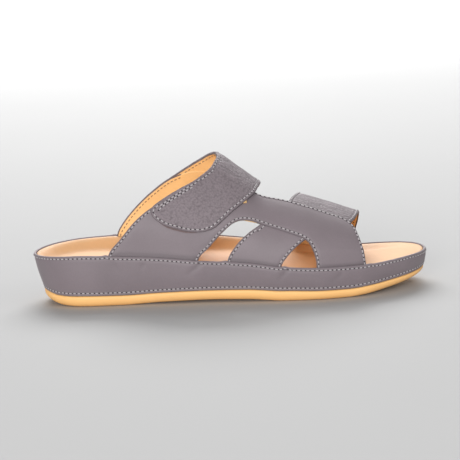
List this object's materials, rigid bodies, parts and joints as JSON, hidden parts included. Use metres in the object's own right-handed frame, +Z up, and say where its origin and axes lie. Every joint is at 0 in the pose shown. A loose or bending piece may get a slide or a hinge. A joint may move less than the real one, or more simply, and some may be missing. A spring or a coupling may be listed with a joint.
{
  "type": "arabic slipper",
  "caption": "Open leather slip-on sandal for the right foot, with a wrapped platform, cut-out side panels, a vamp strap and a hook and loop instep strap.",
  "frame": {"origin": "middle of the bounding box's underside, on the floor under the sandal", "axes": "+X from heel to toe, +Y towards the inner side of the foot, +Z up"},
  "size_m": [0.2859, 0.1028, 0.1027],
  "materials": {
    "honey_rubber": "matt, fine moulded skin",
    "grey_leather": "satin, smooth and pebbled",
    "tan_leather": "semi-gloss"
  },
  "bodies": {
    "root": {"outsole": "honey_rubber", "side_wrap": "grey_leather", "footbed": "tan_leather", "upper": "grey_leather", "instep_strap": "grey_leather"}
  },
  "joints": []
}
